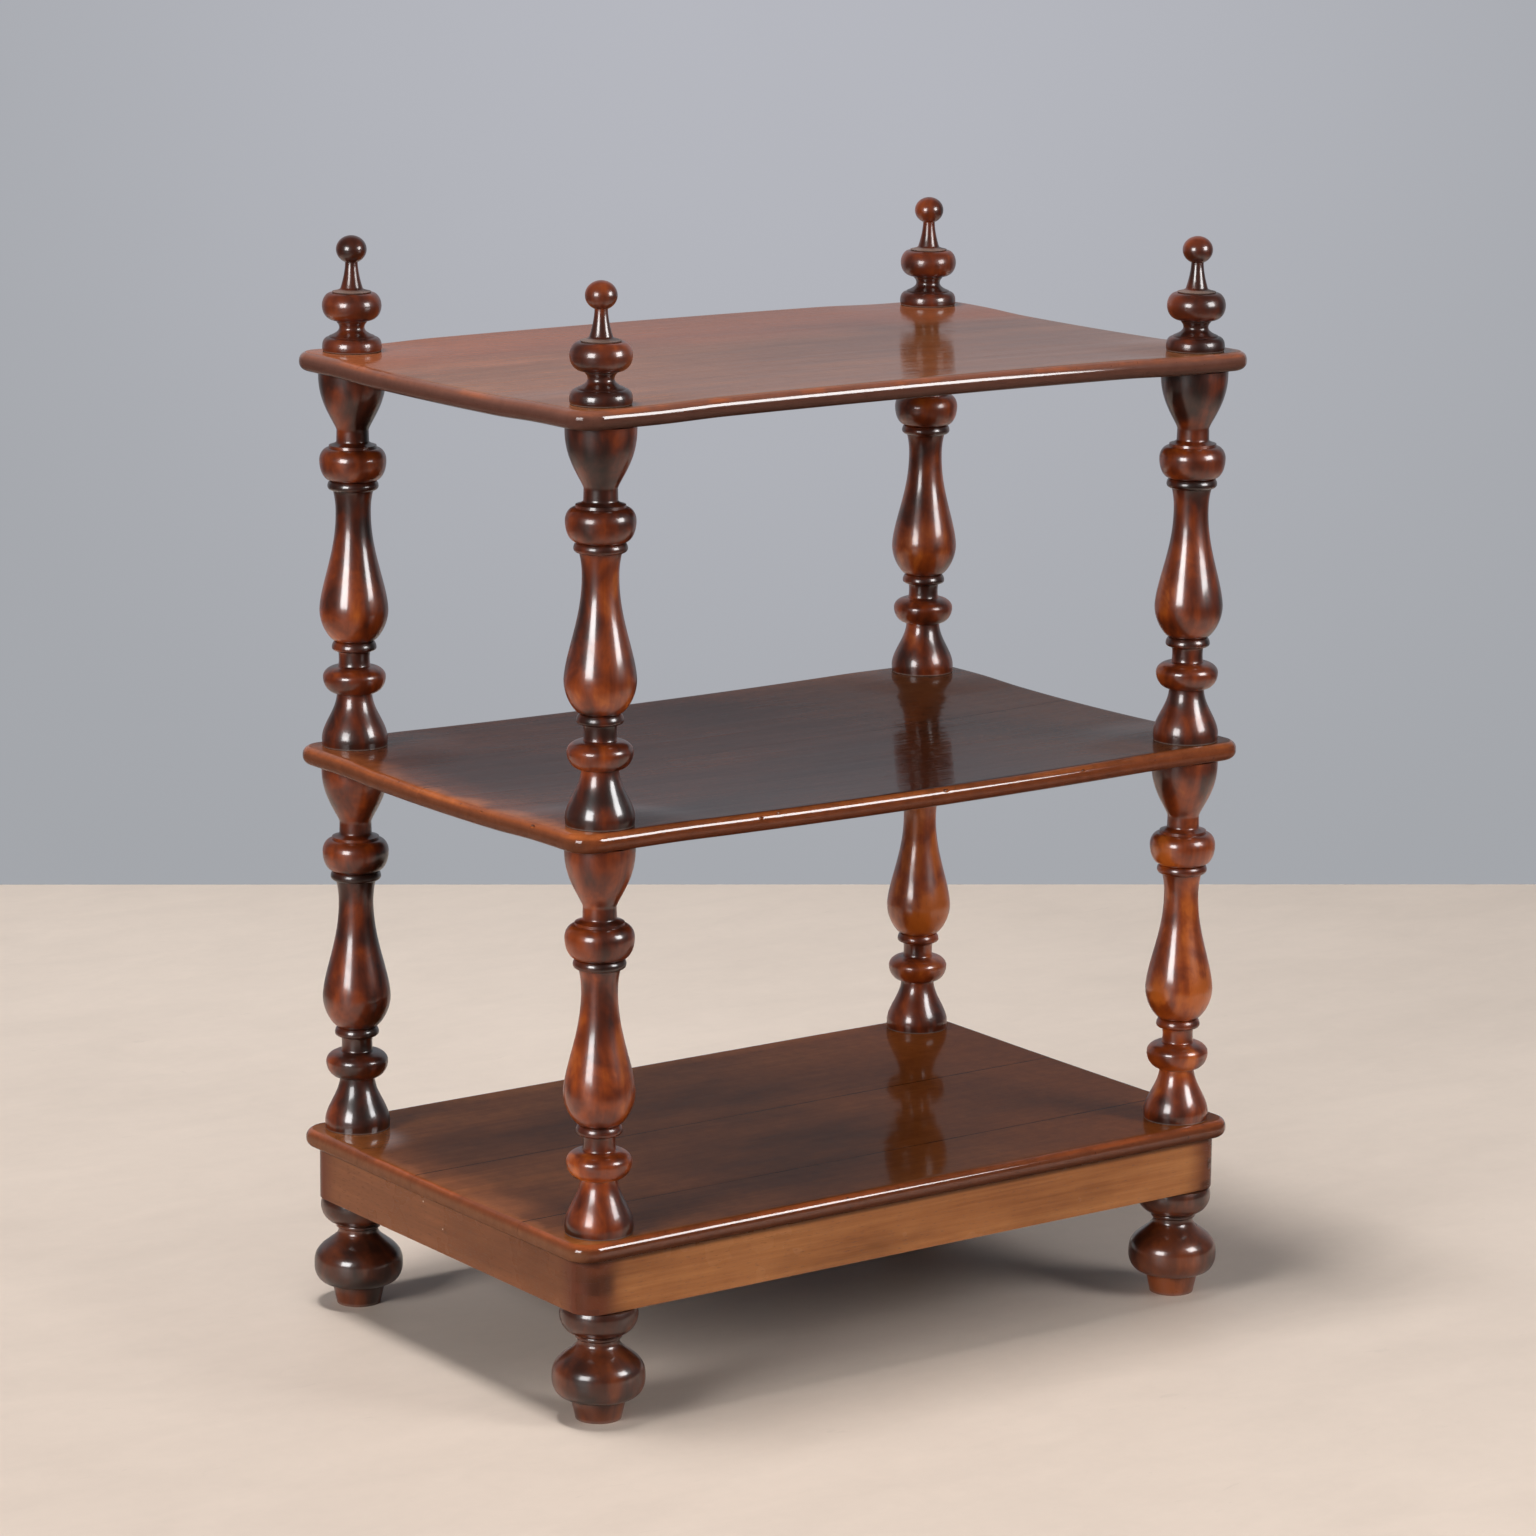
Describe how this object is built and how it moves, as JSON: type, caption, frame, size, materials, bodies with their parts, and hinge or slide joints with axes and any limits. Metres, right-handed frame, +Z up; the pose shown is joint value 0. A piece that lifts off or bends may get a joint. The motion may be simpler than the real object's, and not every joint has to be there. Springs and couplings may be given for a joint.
{
  "type": "etagere",
  "caption": "Open wooden etagere with tiered flat shelves on turned baluster posts, ball finials, a dovetailed apron and turned bulb feet.",
  "frame": {"origin": "middle of the footprint, at the floor under the feet", "axes": "+X to the right along the long front, -Y towards the viewer who faces the front, +Z up"},
  "size_m": [0.748, 0.485, 1.0058],
  "materials": {
    "top_shelf": "polished hardwood, satin, with faint lengthwise grain",
    "middle_shelf": "polished hardwood, dulled grey-brown on top with worn warm edges",
    "bottom_shelf": "polished hardwood, dark reddish brown with streaky lengthwise grain",
    "posts": "glossy polish over turned hardwood, dark in the grooves",
    "finials": "glossy dark polish over turned hardwood",
    "feet": "glossy dark polish over turned hardwood, dull on the pads",
    "long_rails": "polished straight-grained hardwood, light tan brown",
    "side_rails": "polished straight-grained hardwood, dull brown",
    "corner_blocks": "plain unpolished wood"
  },
  "bodies": {
    "root": {"shelf_top": "top_shelf", "shelf_middle_front": "middle_shelf", "shelf_middle_back": "middle_shelf", "shelf_bottom_front": "bottom_shelf", "shelf_bottom_middle": "bottom_shelf", "shelf_bottom_back": "bottom_shelf", "post_upper_front_left": "posts", "post_upper_front_right": "posts", "post_upper_back_left": "posts", "post_upper_back_right": "posts", "post_lower_front_left": "posts", "post_lower_front_right": "posts", "post_lower_back_left": "posts", "post_lower_back_right": "posts", "finial_front_left": "finials", "finial_front_right": "finials", "finial_back_left": "finials", "finial_back_right": "finials", "foot_front_left": "feet", "foot_front_right": "feet", "foot_back_left": "feet", "foot_back_right": "feet", "apron_front": "long_rails", "apron_back": "long_rails", "apron_left": "side_rails", "apron_right": "side_rails", "corner_block_front_left": "corner_blocks", "corner_block_front_right": "corner_blocks", "corner_block_back_left": "corner_blocks", "corner_block_back_right": "corner_blocks"}
  },
  "joints": []
}
